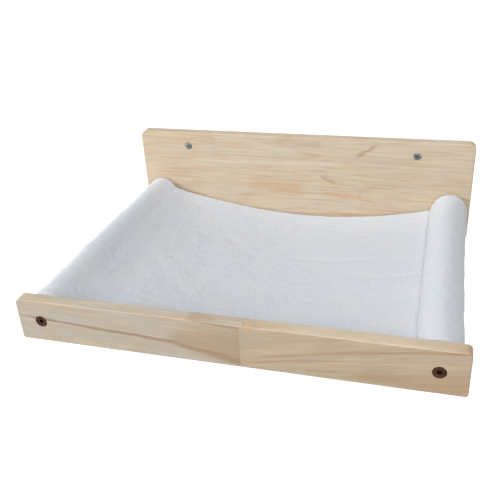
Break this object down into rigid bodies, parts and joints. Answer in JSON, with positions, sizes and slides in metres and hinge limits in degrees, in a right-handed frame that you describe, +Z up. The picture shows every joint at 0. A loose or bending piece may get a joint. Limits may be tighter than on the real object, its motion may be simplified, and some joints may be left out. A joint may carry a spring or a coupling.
{
  "type": "wall-mounted cat hammock bed",
  "caption": "Plush hammock slung on wooden dowels between a tall back board that screws to a wall and a low front board, held by flush bolts.",
  "frame": {"origin": "centre of the back board's flat rear face, which lies against the wall", "axes": "+Z up, +Y into the wall and square to it, +X to the right of someone who faces the wall, along the boards"},
  "size_m": [0.45, 0.385, 0.132],
  "materials": {
    "pine_board": "finger-jointed pale pine, sanded, thin satin lacquer",
    "pine_dowel": "turned pale pine, sanded, unlacquered",
    "plush": "short dense cool-white plush pile",
    "bronzed_steel": "dark bronzed plating, satin",
    "zinc_steel": "bright zinc plating"
  },
  "bodies": {
    "root": {"back_board": "pine_board", "front_board": "pine_board", "left_dowel": "pine_dowel", "right_dowel": "pine_dowel", "left_sleeve": "plush", "right_sleeve": "plush", "seat_panel": "plush", "left_front_bolt": "bronzed_steel", "left_rear_bolt": "bronzed_steel", "right_front_bolt": "bronzed_steel", "right_rear_bolt": "bronzed_steel", "left_front_insert": "zinc_steel", "left_rear_insert": "zinc_steel", "right_front_insert": "zinc_steel", "right_rear_insert": "zinc_steel", "left_wall_screw": "zinc_steel", "right_wall_screw": "zinc_steel"}
  },
  "joints": []
}
